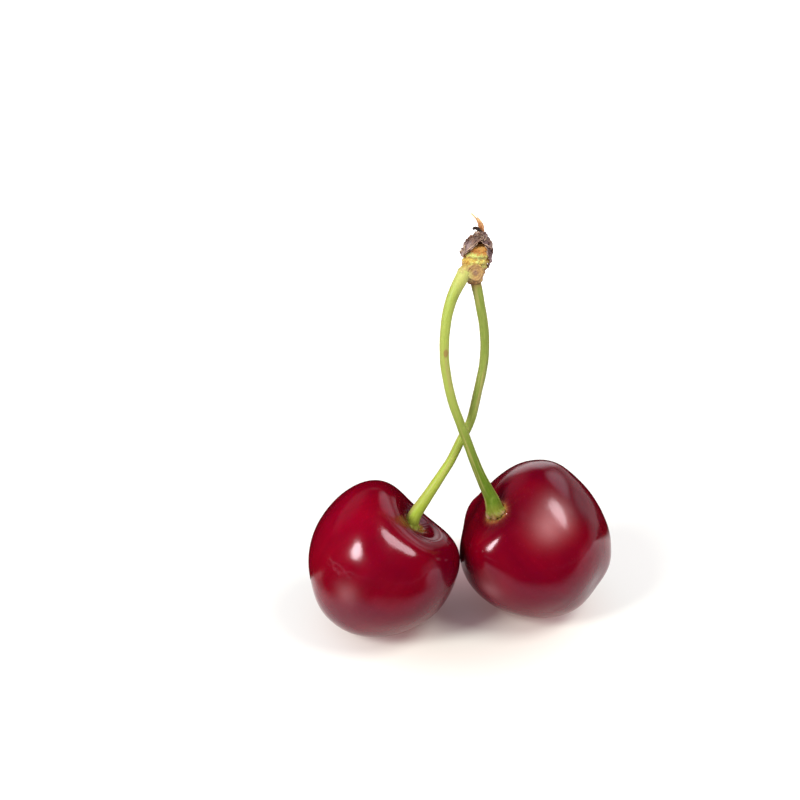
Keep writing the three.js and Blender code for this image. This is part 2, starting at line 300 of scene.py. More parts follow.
studio = {
    "aim": (0, 0, 14),                # the softboxes look here
    "far": 700,                       # how far off they stand
    "lampColour": (0.84, 1.0, 0.74),  # a touch green, against the ruby tint of the skins
    # the softboxes: their ways, sizes in metres and powers in watts
    "left": {"around": -152, "above": 35, "wide": 0.19, "high": 0.32, "roll": -17, "watts": 7.4},
    "top": {"around": -37, "above": 57, "wide": 0.31, "high": 0.33, "roll": 20, "watts": 5.0},
    "fill": {"around": -145, "above": 35, "low": 0.05, "high": 0.8},     # soft light on matt surfaces
    # what the glossy skins see: a dark roof, round pale screens, and a low band to the right
    "roof": 0.02,
    "screen": {"around": 76, "above": 8, "reach": 18, "soft": 8, "bright": 1.7},
    "shade": {"around": 36, "above": 33, "reach": 14, "soft": 7, "bright": 1.6},
    "mist": {"around": 122, "above": 30, "reach": 24, "soft": 14, "bright": 0.3},
    "band": {"around": 30, "above": 0, "reach": 72, "top": 12, "soft": 7, "bright": 0.55},
    # the ground: its colour, the colour of the light it gives off near the fruits and away from them
    # and the radii between which that changes, and how that light grows, each as radii and strengths;
    # this glow is painted light, pink near the fruits like the light their red skins throw back
    "floor": {"half": 4000, "colour": "aca4b0", "roughness": 0.7, "specular": 0.1,
              "shine": ("f0b0a8", "fffafa"), "shineRadii": (8, 32),
              "glow": ((0, 26, 0.11, 0.44), (50, 230, 0.0, 0.7))},
    # dark cards that only reflections see: edge points, on the ground unless they carry a height,
    # and the way that the card runs off from its edge
    "cardColour": "0c090a", "cardLift": 0.4,
    "cards": {
        "front": {"edge": ((-300, 60), (-46, 12), (-38, -14), (-24, -30), (4, -33), (22, -34),
                           (44, -50), (80, -78), (140, -112), (600, -262)),
                  "way": (-0.35, -1.0, 0), "soft": 22, "reach": 4500},
        "back": {"edge": ((900, 60), (90, 24), (45, 20), (14, 18), (-14, 17), (-30, 18), (-44, 14),
                          (-300, 80)),
                 "way": (0.1, 1.0, 0), "soft": 12, "reach": 4500},
        "behind": {"edge": ((4, 15, -5), (4, 15, 34), (-90, 15, 34)),
                   "way": (-1.0, 0, -1.0), "soft": 5, "reach": 90},
    },
}


def wayTo(around, above):
    az, el = np.radians(around), np.radians(above)
    return np.array((np.cos(el) * np.cos(az), np.cos(el) * np.sin(az), np.sin(el)))


def softbox(name, form):
    way = wayTo(form["around"], form["above"])
    side = unit(np.cross((0, 0, 1), way))
    facing = Matrix(np.stack((side, np.cross(way, side), way), 1).tolist())
    facing = (facing @ Matrix.Rotation(np.radians(form["roll"]), 3, "Z")).to_4x4()
    light = bpy.data.lights.new(name, "AREA")
    light.shape = "ELLIPSE"
    light.size, light.size_y, light.energy = form["wide"], form["high"], form["watts"]
    light.color = studio["lampColour"]
    place = (np.array(studio["aim"]) + way * studio["far"]) * mm
    setOut(name, light).matrix_world = Matrix.Translation(place) @ facing


def makeSky():
    # camera rays see plain white, matt surfaces get an even fill, and glossy ones see the screens
    world = bpy.data.worlds.new("studio")
    bpy.context.scene.world = world
    world.use_nodes = True
    tree = world.node_tree
    tree.nodes.clear()
    add = lambda kind: tree.nodes.new("ShaderNode" + kind)
    link = tree.links.new
    way = add("TexCoord").outputs["Generated"]

    def facing(vector, low, high, toLow, toHigh):
        # runs from one value to another as a way turns towards the given one
        dot = add("VectorMath")
        dot.operation = "DOT_PRODUCT"
        link(way, dot.inputs[0])
        dot.inputs[1].default_value = vector
        span = add("MapRange")
        span.interpolation_type = "SMOOTHSTEP"
        link(dot.outputs["Value"], span.inputs["Value"])
        for key, value in zip(("From Min", "From Max", "To Min", "To Max"), (low, high, toLow, toHigh)):
            span.inputs[key].default_value = value
        return span.outputs["Result"]

    def combine(kind, a, b):
        node = add("Math")
        node.operation = kind
        for socket, value in zip(node.inputs, (a, b)):
            if isinstance(value, float):
                socket.default_value = value
            else:
                link(value, socket)
        return node.outputs[0]

    def cap(form):
        # a round patch of sky, bright within its reach
        edges = np.radians((form["reach"] + form["soft"], form["reach"] - form["soft"]))
        return facing(wayTo(form["around"], form["above"]), *np.cos(edges), 0.0, form["bright"])

    def mixed(share, a, b):
        node = add("MixShader")
        for socket, value in zip(node.inputs, (share, a, b)):
            link(value, socket)
        return node.outputs[0]

    band, fill = studio["band"], studio["fill"]
    top, under = np.sin(np.radians((band["top"] + band["soft"], band["top"] - band["soft"])))
    low = facing((0, 0, 1), under, top, 1.0, 0.0)
    bright = combine("MULTIPLY", cap(band), low)
    for name in ("screen", "mist", "shade"):
        bright = combine("MAXIMUM", bright, cap(studio[name]))
    even, glossy, seen = add("Background"), add("Background"), add("Background")
    for ground in (even, glossy, seen):
        ground.inputs["Color"].default_value = (1, 1, 1, 1)
    link(combine("MAXIMUM", bright, studio["roof"]), glossy.inputs["Strength"])
    link(facing(wayTo(fill["around"], fill["above"]), -1.0, 1.0, fill["low"], fill["high"]),
         even.inputs["Strength"])
    rays = add("LightPath").outputs
    lit = mixed(rays["Is Glossy Ray"], even.outputs[0], glossy.outputs[0])
    link(mixed(rays["Is Camera Ray"], lit, seen.outputs[0]), add("OutputWorld").inputs["Surface"])


def makeFloor():
    form = studio["floor"]
    half = form["half"] * mm
    mesh = bpy.data.meshes.new("floor")
    corners = [(-half, -half, 0), (half, -half, 0), (half, half, 0), (-half, half, 0)]
    mesh.from_pydata(corners, [], [(0, 1, 2, 3)])
    white = Finish("floorWhite", roughness=form["roughness"], specular=form["specular"])
    reach = white.add("VectorMath", {0: white.place()}, operation="LENGTH").outputs["Value"]
    near, far = form["shineRadii"]
    white.colour(form["colour"])
    # painted light: the floor glows, pink near the fruits like the light their skins throw back, lifting
    # the shade round them, and stronger away from them
    white.feed(white.shader.inputs["Emission Color"],
               white.blend(white.ramp(reach, near * mm, far * mm), *form["shine"]))
    inner, outer = [white.ramp(reach, near * mm, far * mm, low, high)
                    for near, far, low, high in form["glow"]]
    white.feed(white.shader.inputs["Emission Strength"], white.math("ADD", inner, outer))
    mesh.materials.append(white.material)
    floor = setOut("floor", mesh)


def makeCard(name, form):
    # its cover grows from none at the edge to full a little way in, so the border looks soft
    edge = np.array([(*point, studio["cardLift"])[:3] for point in form["edge"]], float)
    way = unit(np.array(form["way"]))
    rows = [edge + way * run for run in (-form["soft"] / 2, form["soft"] / 2, form["reach"])]
    n = len(edge)
    faces = [(k, k + 1, n + k + 1, n + k) for k in range(2 * n - 1) if k != n - 1]
    mesh = bpy.data.meshes.new(name)
    mesh.from_pydata((np.concatenate(rows) * mm).tolist(), [], faces)
    setMarks(mesh, {"cover": np.repeat((0.0, 1.0, 1.0), n)[:, None]})
    black = Finish(name + "Black", roughness=0.9, specular=0.0)
    black.colour(studio["cardColour"])
    clear = black.add("BsdfTransparent")
    cover = black.ramp(black.read("cover"), 0.0, 1.0)
    soft = black.add("MixShader", {0: cover, 1: clear.outputs[0], 2: black.shader.outputs[0]})
    black.feed(black.tree.nodes["Material Output"].inputs["Surface"], soft.outputs[0])
    mesh.materials.append(black.material)
    card = setOut(name, mesh)
    card.visible_camera = card.visible_diffuse = card.visible_shadow = card.visible_transmission = False


bpy.context.scene.view_settings.view_transform = "Standard"
softbox("leftSoftbox", studio["left"])
softbox("topSoftbox", studio["top"])
makeSky()
makeFloor()
for name, form in studio["cards"].items():
    makeCard(name + "Card", form)
print("studio and camera set")


fruitForms = {
    "left": {
        "centre": (-13.92, -0.49, 12.77), "lean": 39.0, "heading": -6.2, "turn": -103.7,
        "halfThick": 13.04, "halfWide": 12.84, "halfTall": 13.86, "topSwell": 0.14, "taper": 0.087,
        "funnelDepth": 6.2, "funnelReach": 0.465, "funnelPower": 1.52, "saddle": 1.91,
        # swells: polar, around (radians), reach, height; pits: polar, around (degrees), depth, size;
        # waxy haze, which also carries a painted sheen, and a blush that is partly painted light, a
        # brighter
        # red towards the left softbox: polar, around (degrees), size, share; ripple: pitch, height, first
        # and last reach from the stalk; style: polar, around (radians) of the blossom end
        "swells": ((0.74, -2.27, 0.48, 0.68), (2.63, 0.42, 0.45, 0.18), (2.45, -1.17, 0.34, -0.3),
                   (1.16, 1.47, 0.45, -0.35), (3.14, 0.0, 0.28, -0.25), (0.89, -0.07, 0.3, -0.32),
                   (0.68, 0.3, 0.29, 0.85), (0.72, -0.34, 0.25, 0.26)),
        "pits": ((95.8, -29.7, 0.045, 0.65), (99.2, -39.9, 0.045, 0.5), (92.2, -21.3, 0.04, 0.45),
                 (97.0, -34.0, 0.04, 0.4), (101.0, -27.0, -0.035, 0.5), (93.0, -36.0, -0.025, 0.45)),
        "hazeAndSheen": ((105.0, -14.0, 1.9, 0.45),), "blushAndLitSide": (67.0, -55.0, 0.7, 0.35),
        "ripple": (1.15, 0.03, 2.9, 6.0), "style": (3.1, 0.4), "seed": 11,
    },
    "right": {
        "centre": (13.75, -0.22, 12.94), "lean": 47.3, "heading": 200.2, "turn": 86.6,
        "halfThick": 13.23, "halfWide": 13.62, "halfTall": 13.85, "topSwell": 0.04, "taper": 0.095,
        "funnelDepth": 1.67, "funnelReach": 0.563, "funnelPower": 1.04, "saddle": 1.33,
        "swells": ((1.23, 2.03, 0.38, 0.56), (2.11, -0.58, 0.36, 0.59), (1.01, -2.95, 0.22, 0.81),
                   (1.34, 1.05, 0.56, -1.94), (2.0, 0.1, 0.24, -0.45), (2.17, 0.42, 0.27, 0.36),
                   (0.57, -0.94, 0.37, 0.65), (0.43, -1.11, 0.27, 0.88), (0.41, -1.37, 0.2, 0.52),
                   (0.56, -0.73, 0.25, 0.4), (0.62, -2.68, 0.36, -0.71), (0.31, -0.44, 0.16, 0.58),
                   (0.58, -0.14, 0.25, -0.15)),
        "pits": ((46.1, -3.7, 0.03, 0.35), (102.3, -45.0, 0.05, 0.5)),
        "hazeAndSheen": ((46.0, 41.0, 2.8, 0.8), (38.5, 23.0, 2.3, 0.7), (56.3, -65.6, 1.6, 0.4)),
        "blushAndLitSide": (60.0, -20.0, 0.55, 0.1),
        "ripple": (1.15, 0.0, 2.9, 5.0), "style": (2.63, 0.09), "seed": 23,
    },
}
skinForm = {
    "rings": 280, "sides": 340, "poleGap": 0.004, "poleGather": 0.06,
    "saddlePolar": 0.75, "meanRadius": 13, "pressed": 0.28,
    "broad": (9.0, 0.035), "middle": (3.2, 0.005), "fine": (1.0, 0.001),    # wave size and height
    "calm": (2, 5),                   # reaches from the stalk between which the broad waves grow
    "crown": 1.2, "beyond": 99.0,     # the reach counts above this polar angle, and is this below it
    "lip": {"high": 0.14, "at": 1.95, "wide": 0.28, "ragged": 0.12},
    "rays": {"count": 27, "high": 0.012, "at": 2.9, "wide": 0.8, "wander": 2.5},
    "seam": {"deep": 0.06, "wide": 0.5, "starts": (0.5, 0.9), "ends": (2.5, 2.9), "stray": 6},
    "style": {"deep": 0.3, "wide": 1.0, "knob": 0.22, "knobWide": 0.27},
}


def fruitShape(polar, around, form):
    # an unequal ellipsoid, wider towards the stalk, less a funnel exp(-(polar/reach)^power) and a
    # saddle, plus each swell along the way out
    ring, up = np.sin(polar), np.cos(polar)
    wide = 1 + form["taper"] * up
    dip = (polar / skinForm["saddlePolar"]) ** 2
    way = direction(polar, around)
    p = np.stack((form["halfThick"] * ring * np.cos(around) * wide,
                  form["halfWide"] * ring * np.sin(around) * wide,
                  form["halfTall"] * up + form["topSwell"] * up ** 2
                  - form["funnelDepth"] * np.exp(-(polar / form["funnelReach"]) ** form["funnelPower"])
                  - form["saddle"] * np.cos(around) ** 2 * dip * np.exp(1 - dip)), -1)
    for swellPolar, swellAround, reach, height in form["swells"]:
        away = np.linalg.norm(way - direction(swellPolar, swellAround), axis=-1)
        p += (height * bell(away, reach))[..., None] * way
    return p


def fruitSeat(form):
    return turn("Z", form["heading"]) @ turn("Y", form["lean"]) @ turn("Z", form["turn"])


def fruitRelief(p, polar, around, form):
    # height above the smooth shape: waves of three sizes, ripples and rays round the stalk,
    # the seam down the far side, the raised lip that holds the stalk, and small pits
    seed, f = form["seed"], skinForm
    way, level = direction(polar, around), direction(polar * 0 + np.pi / 2, around)

    def away(spotPolar, spotAround):
        return np.linalg.norm(way - direction(spotPolar, spotAround), axis=-1) * f["meanRadius"]

    reach = np.where(polar < f["crown"], np.hypot(p[..., 0], p[..., 1]), f["beyond"])
    h = f["broad"][1] * waves(p, f["broad"][0], seed) * easing(reach, *f["calm"])
    for k, (size, high) in enumerate((f["middle"], f["fine"])):
        h += high * waves(p, size, seed + 1 + k)
    pitch, high, first, last = form["ripple"]
    h += (high * np.sin(2 * np.pi * reach / pitch + waves(p, 6, seed + 3))
          * easing(reach, first - 0.6, first + 0.4) * (1 - easing(reach, last - 1.5, last)))
    lip, rays, seam, style = f["lip"], f["rays"], f["seam"], f["style"]
    ragged = reach + lip["ragged"] * waves(level * 4, 3, seed + 4)
    h += lip["high"] * bell(ragged - lip["at"], lip["wide"])
    fans = rays["count"] * around + rays["wander"] * waves(level, 1.2, seed + 5)
    h += rays["high"] * np.sin(fans) * bell(reach - rays["at"], rays["wide"])
    offSeam = np.abs(np.angle(np.exp(1j * (around - np.pi)))) * np.sin(polar) * f["meanRadius"]
    h -= (seam["deep"] * bell(offSeam, seam["wide"]) * (offSeam < seam["stray"])
          * easing(polar, *seam["starts"]) * (1 - easing(polar, *seam["ends"])))
    for pitPolar, pitAround, deep, size in form["pits"]:
        h -= deep * bell(away(*np.radians((pitPolar, pitAround))), size)
    # waxy haze, and also the mask of a painted sheen: pale patches where highlights trail
    hazeAndSheen = np.zeros_like(h)
    for hazeSheenPolar, hazeSheenAround, size, share in form["hazeAndSheen"]:
        hazeAndSheen = 1 - (1 - hazeAndSheen) * (1 - share * bell(away(*np.radians((hazeSheenPolar, hazeSheenAround))), size))
    offStyle = away(*form["style"])
    h += style["knob"] * bell(offStyle, style["knobWide"])
    h -= style["deep"] * bell(offStyle, style["wide"])
    return h, reach, offStyle, hazeAndSheen


def makeFruit(side, material):
    form, f = fruitForms[side], skinForm
    share = np.linspace(f["poleGap"], 1 - f["poleGap"], f["rings"])
    polar, around = np.meshgrid(np.pi * (share - f["poleGather"] * np.sin(2 * np.pi * share)),
                                np.linspace(0, 2 * np.pi, f["sides"], endpoint=False), indexing="ij")
    p = fruitShape(polar, around, form)
    h, reach, style, hazeAndSheen = fruitRelief(p, polar, around, form)
    p = p + gridNormals(p) * h[..., None]
    placed = p @ fruitSeat(form).T + np.array(form["centre"])
    z = placed[..., 2]
    placed[..., 2] = 0.5 * (z + np.sqrt(z * z + f["pressed"] ** 2))     # flattened where it rests
    placed[..., 2] -= placed[..., 2].min()
    # painted light: a brighter red towards the left softbox, laid over the fruit's own blush
    blushLitPolar, blushLitAround, size, share = form["blushAndLitSide"]
    blushLitWay = direction(*np.radians((blushLitPolar, blushLitAround)))
    blushAndLitSide = share * bell(np.linalg.norm(direction(polar, around) - blushLitWay, axis=-1), size)
    marks = {"footReach": reach, "styleReach": style, "hazeAndSheen": hazeAndSheen, "blushAndLitSide": blushAndLitSide,
             "skinWay": np.stack((np.cos(around), np.sin(around), polar * 0.12), -1),
             "ownPlace": p * mm}
    piece = makePiece(f"cherry{side.title()}", closedSkin(placed, marks), material)
    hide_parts(f"cherry_{side}")


skinPaint = {
    "flesh": "640010", "shade": ("500012", 1.0), "blushAndLitSide": ("94001c", 1.0), "streak": ("4e000d", 0.25),
    "funnel": ("3c000b", 0.6), "speck": ("a01c34", 0.12), "waxAndSheen": ("d096a4", 0.3),
    "barkDark": "6e3a1c", "barkGreen": ("85702c", 1.0), "barkPale": ("b47c62", 0.7),
    "barkFade": ("7a4030", 0.2), "bark": 0.85, "style": ("6b4a2a", 0.6),
}


def cherrySkin():
    # ruby flesh under clouds, streaks and specks, painted shade deeper down the funnel, a blush that is
    # partly a painted lit side, a ragged ring of bark round the stalk, and wax with a painted sheen
    f = Finish("cherrySkin", skinPaint, ior=1.37, specularTint=(1.0, 0.68, 1.0, 1.0), glow=0.15,
               glowReach=(1.0, 0.08, 0.06), glowScale=0.0018)
    own, way = f.read("ownPlace", "Vector"), f.read("skinWay", "Vector")
    reach = f.read("footReach")
    clouds = f.noise(own, 0.012, 2, 0.5, 0.3)
    mottle = f.ramp(f.noise(own, 0.005, 3, 0.6), 0.2, 0.7, 0.6, 1.0)
    specks = f.add("TexVoronoi", {"Vector": own, "Scale": 1100.0}, feature="F1").outputs["Distance"]
    rays = f.noise(way, 0.12, 3, 0.7)
    edge = f.plus(reach, f.math("SUBTRACT", rays, 0.5), 1.2)
    hazeAndSheen = f.math("MULTIPLY", f.read("hazeAndSheen"), f.ramp(f.noise(own, 0.005, 2, 0.5), 0.1, 0.9, 0.75, 1.0))
    bark = f.layer(skinPaint["barkDark"], "barkGreen", rays, 0.4, 0.62)
    bark = f.layer(bark, "barkPale", f.noise(way, 0.05, 3, 0.6), 0.52, 0.68)
    body = f.layer(skinPaint["flesh"], "shade", clouds, 0.3, 0.7)
    # painted light: the brighter red lit side, over the fruit's own blush
    body = f.wash(body, "blushAndLitSide", f.math("MULTIPLY", f.read("blushAndLitSide"), mottle))
    body = f.layer(body, "streak", f.noise(way, 0.10, 3, 0.6), 0.35, 0.7)
    # painted shade: the flesh darkens down into the funnel round the stalk
    body = f.layer(body, "funnel", reach, 6.0, 2.4)
    body = f.layer(body, "speck", specks, 0.16, 0.05)
    body = f.blend(f.ramp(edge, 2.5, 1.75, 0.0, skinPaint["bark"]), body, bark)
    body = f.layer(body, "barkFade", edge, 3.2, 2.1)
    # painted highlight and reflection: pale wax on the haze patches, over a real waxy bloom
    body = f.wash(body, "waxAndSheen", hazeAndSheen)
    f.colour(f.layer(body, "style", f.read("styleReach"), 0.5, 0.25))
    f.roughness(f.plus(f.ramp(f.noise(own, 0.004, 3, 0.6), 0.3, 0.7, 0.13, 0.19), hazeAndSheen, 0.13))
    f.bump(f.noise(own, 0.0005, 2, 0.6), 0.0015)
    return f.material


skinMaterial = cherrySkin()
for side in ("left", "right"):
    makeFruit(side, skinMaterial)
print("fruits made")


# through and end: the points of the line; neck: radius, reach and power of the spread above the
# foot; nick: a small brown mark's place and reach
stalkForms = {
    "left": {
        "through": ((-8.4, -0.95, 21.15), (-6.68, -0.7, 23.67), (-4.26, -0.15, 26.91),
                    (-1.85, 0.7, 29.99), (0.05, 1.6, 33.1), (1.94, 2.6, 36.16),
                    (2.95, 3.4, 39.4), (4.4, 4.3, 46.1), (4.5, 4.8, 50.5), (3.6, 5.4, 56.4)),
        "end": (3.1, 5.75, 58.9), "neck": (1.2, 7.5, 1.35), "topRadius": 0.86,
        "footRadius": 1.62, "footLift": -0.05, "footShift": (-0.25, -0.1, 0.25),
        "nick": (4.4, 5.4, 46.1, 0.28), "seed": 31,
    },
    "right": {
        "through": ((4.47, -2.9, 23.57), (2.92, -2.1, 27.13), (1.57, -1.3, 30.63), (0.4, -0.6, 34.12),
                    (-0.85, -0.1, 37.67), (-1.95, 0.55, 41.11), (-3.0, 1.7, 47.8), (-2.5, 3.0, 53.9),
                    (-1.35, 4.1, 57.4)),
        "end": (0.68, 5.1, 60.7), "neck": (1.64, 4.0, 0.9), "topRadius": 1.15,
        "footRadius": 1.88, "footLift": 0.25, "footShift": (0, 0, 0),
        "nick": (-2.9, 1.2, 49.1, 0.5), "seed": 37,
    },
}
barkForm = {
    "radius": 0.73, "rootRun": 0.45, "sunkTop": 0.8, "clubPower": 6,
    "rings": 560, "sides": 64, "gather": 1.35,      # the rings crowd towards the foot by this power
    # the foot's disc ends between these runs; its underside is drawn in by this much, over this run
    "disc": (0.2, 0.9), "underside": (0.5, 0.25),
    "ribs": {"count": 5, "high": 0.012, "twist": 0.035, "starts": (1.5, 6)},    # radians a millimetre
    "lumps": (3.4, 0.012), "grain": (0.45, 0.004),      # wave size and height
    "teeth": {"count": 17, "high": 0.07, "at": 0.4, "wide": 1.6},     # fine ribs of the foot
    "torn": {"size": 0.8, "high": 0.16, "at": 0.35, "wide": 0.35},    # and its ragged rim
    "nickStretch": (1, 0.6, 0.7),
}


def stalkLine(side):
    # from the funnel's floor half way between the fruit's axis and its own way, then through its
    # points and a little into the spur
    fruit, form = fruitForms[side], stalkForms[side]
    floor = fruit["halfTall"] + fruit["topSwell"] - fruit["funnelDepth"] + form["footLift"]
    axis = fruitSeat(fruit)[:, 2]
    root = np.array(fruit["centre"]) + axis * floor + np.array(form["footShift"])
    way = unit(axis + unit(np.array(form["through"][0]) - root))
    end = np.array(form["end"])
    last = end + unit(end - np.array(form["through"][-1])) * barkForm["sunkTop"]
    return [root, root + way * barkForm["rootRun"], *form["through"], last]


def stalkRadius(form, run, share):
    # the foot's disc, the spreading neck, the slim shank, and the club at the spur
    slim = barkForm["radius"]
    wide, reach, power = form["neck"]
    disc = max(0, form["footRadius"] - wide) * (1 - easing(run, *barkForm["disc"]))
    drawn, drawnRun = barkForm["underside"]
    under = drawn * (1 - easing(run, 0, drawnRun))
    neck = (wide - slim) * np.exp(-(run / reach) ** power)
    return slim + disc - under + neck + (form["topRadius"] - slim) * share ** barkForm["clubPower"]


def makeStalk(side, material):
    form, f = stalkForms[side], barkForm
    share = np.linspace(0, 1, f["rings"]) ** f["gather"]
    line, run = curveThrough(stalkLine(side), share)
    around, spoke = spokes(line, f["sides"])
    r = stalkRadius(form, run, share)[:, None] * np.ones((1, f["sides"]))
    p = line[:, None] + spoke * r[..., None]
    run, around = run[:, None] * np.ones_like(r), around[None] * np.ones_like(r)
    ribs, teeth, torn = f["ribs"], f["teeth"], f["torn"]
    phase = ribs["count"] * (around + ribs["twist"] * run) + waves(p, 9, form["seed"])
    r = r + ribs["high"] * np.cos(phase) * easing(run, *ribs["starts"])
    for (size, high), k in ((f["lumps"], 1), (f["grain"], 2)):
        r += high * waves(p, size, form["seed"] + k)
    phase = teeth["count"] * around + 1.6 * waves(spoke * 2, 2, form["seed"] + 3)
    r += teeth["high"] * np.cos(phase) * bell(run - teeth["at"], teeth["wide"])
    ragged = waves(spoke * 1.7, torn["size"], form["seed"] + 5)
    r += torn["high"] * ragged * bell(run - torn["at"], torn["wide"])
    p = line[:, None] + spoke * r[..., None]
    *spot, reach = form["nick"]
    nick = bell(np.linalg.norm((p - np.array(spot)) * f["nickStretch"], axis=-1), reach)
    marks = {"run": run, "fromTop": run[-1] - run, "nick": nick,
             "barkWay": np.stack((np.cos(around), np.sin(around), run * 0.06), -1)}
    piece = makePiece(f"stalk{side.title()}", closedSkin(p, marks), material)
    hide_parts(f"stalk_{side}")


barkPaint = {
    "stripe": ("8f7f50", 0.6), "sideSheen": ("92803e", 0.5), "pale": ("94984e", 0.45),
    "dark": ("4c6418", 0.35), "stain": ("66601c", 0.75), "bark": "6a4422",
    "tornBark": ("94685a", 1.0), "nick": ("7c5a34", 0.8),
}
stalkPaint = {
    # the greens near the fruit and near the spur, and the runs between which one becomes the other
    "left": {"low": "828a26", "high": ("68702c", 1.0), "split": (8, 26), "edge": ("9c965a", 0.45),
             "lip": ("7c5c34", 0.75), "lipReach": 2.6},
    "right": {"low": "445500", "high": ("878a40", 1.0), "split": (5, 26), "edge": ("666e22", 0.45),
              "lip": ("a0985a", 0.75), "lipReach": 5.5},
}


def stalkGreen(side):
    # green along the run under fibres, stripes, a painted sheen down both sides and patches, brown at
    # the foot and the tip
    hue = {**barkPaint, **stalkPaint[side]}
    f = Finish(f"stalkGreen{side.title()}", hue, coat=0.03, coatRoughness=0.3, specular=0.22,
               glow=0.15, glowReach=(0.6, 0.8, 0.2), glowScale=0.0006, sheen=0.08, sheenRoughness=0.4)
    way, run = f.read("barkWay", "Vector"), f.read("run")
    fibres = f.noise(way, 0.2, 5, 0.7)
    stripes = f.noise(way, 0.8, 2, 0.5)
    patches = f.noise(f.place(), 0.003, 4, 0.65)
    sides = f.add("VectorMath", {0: way, 1: (1.0, 0.0, 0.0)}, operation="DOT_PRODUCT").outputs["Value"]
    ragged = f.plus(run, fibres, 1.6)
    bark = f.layer(hue["bark"], "tornBark", stripes, 0.42, 0.6)
    body = f.layer(hue["low"], "high", run, *hue["split"])
    body = f.layer(body, "edge", fibres, 0.4, 0.75)
    body = f.layer(body, "stripe", stripes, 0.55, 0.68)
    # painted sheen: pale beige down the two sides that the camera sees edge on
    body = f.layer(body, "sideSheen", f.plus(f.math("ABSOLUTE", sides), fibres, 0.12), 0.93, 1.04)
    body = f.layer(body, "pale", patches, 0.55, 0.8)
    body = f.layer(body, "dark", patches, 0.42, 0.25)
    body = f.layer(body, "lip", f.plus(f.read("fromTop"), patches, 1.5), hue["lipReach"], 1.2)
    body = f.layer(body, "stain", ragged, 3.2, 1.3)
    body = f.blend(f.ramp(ragged, 1.5, 0.9), body, bark)
    nick = f.math("MULTIPLY", f.read("nick"), f.ramp(fibres, 0.3, 0.6, 0.6, 1.2))
    f.colour(f.layer(body, "nick", nick, 0.35, 0.6))
    f.roughness(f.ramp(patches, 0.3, 0.7, 0.45, 0.65))
    f.bump(f.plus(fibres, patches, 0.4), 0.03)
    return f.material


for side in ("left", "right"):
    makeStalk(side, stalkGreen(side))
print("stalks made")


spurForm = {
    "centre": (3.0, 6.0, 62.6), "lean": 7.45, "seed": 41,
    # radius and height down the cushion, from its top to its underside
    "profile": ((0.1, 3.15), (0.7, 3.1), (1.2, 2.95), (1.62, 2.6), (1.86, 2.1), (2.0, 1.6), (2.06, 1.0),
                (2.0, 0.4), (1.88, -0.2), (1.75, -0.8), (1.6, -1.5), (1.4, -2.2), (1.0, -2.6), (0.1, -2.7)),
    "fold": (0.12, 1.05, 1.6, 2.4),          # height, pitch, slant, facing (radians)
    # round scars of shed fruits: facing, height, size
    "scars": ((-102, -1.25, 1.3), (35, -0.9, 1.0), (140, -0.5, 0.85)),
    "scarProfile": ((0.1, 0.2), (0.22, 0.26), (0.36, 0.18), (0.5, 0.14), (0.64, 0.22), (0.78, 0.2),
                    (0.9, 0.3), (1.0, 0.24), (1.05, 0.03), (1.02, -0.6), (0.9, -1.2), (0.1, -1.3)),
    "scarReach": 1.78, "scarRough": 0.1, "scarCalm": (0.6, 1.2),     # the scars stay smoother
    # sleeves over the stalks' ends: lip and root radius, reach of the lip down the stalk, its bead
    "collars": {"left": (0.98, 1.35, 0.4, 0.14), "right": (1.12, 1.0, 0.3, 0.0)},
    "collarStart": 0.5, "collarSunk": 0.8,
    "heartDrop": 0.6,                        # the collars meet this far below the centre
    "cushionGrid": (120, 130), "scarGrid": (72, 70), "collarGrid": (64, 40),     # sides and steps
    "voxel": 0.055, "smoothing": 5,
    "wrinkles": ((1.5, 0.05), (0.6, 0.028), (0.24, 0.012)),      # wave size and height
    "cracks": (0.9, 0.05, 0.16),             # wave size, depth, width
}


def onSpur(p):
    return p @ turn("Y", spurForm["lean"]).T + np.array(spurForm["centre"])


def lathe(profile, sides, steps):
    # points of radius and height turned about +Z; runs from the top down
    line, _ = curveThrough([(r, 0, z) for r, z in profile], steps)
    around = np.linspace(0, 2 * np.pi, sides, endpoint=False)
    return np.stack((line[:, :1] * np.cos(around), line[:, :1] * np.sin(around),
                     line[:, 2:] * np.ones_like(around)), -1)


def tube(line, radius, sides):
    # a round section carried along a line; radius is one number a step
    return line[:, None] + spokes(line, sides)[1] * np.reshape(radius, (-1, 1, 1))


def spurCushion():
    # the turned profile swollen by slanting folds:
    # 1 + depth / 2 sin(2 pi z / pitch + slant cos(around - facing))
    p = lathe(spurForm["profile"], *spurForm["cushionGrid"])
    depth, pitch, slant, facing = spurForm["fold"]
    around = np.arctan2(p[..., 1], p[..., 0])
    phase = 2 * np.pi * p[..., 2] / pitch + slant * np.cos(around - facing)
    p[..., :2] *= (1 + depth / 2 * np.sin(phase))[..., None]
    return onSpur(p)


def scarStub(facing, height, size):
    p = lathe([(r * size, z) for r, z in spurForm["scarProfile"]], *spurForm["scarGrid"])
    rough = waves(unit(p * (1, 1, 0)) * 1.5, 2.5, int(facing) % 97)
    p[..., :2] *= 1 + spurForm["scarRough"] * rough[..., None]
    p = p @ turn("Y", 90).T + (spurForm["scarReach"], 0, 0)
    return onSpur(p @ turn("Z", facing).T + (0, 0, height))


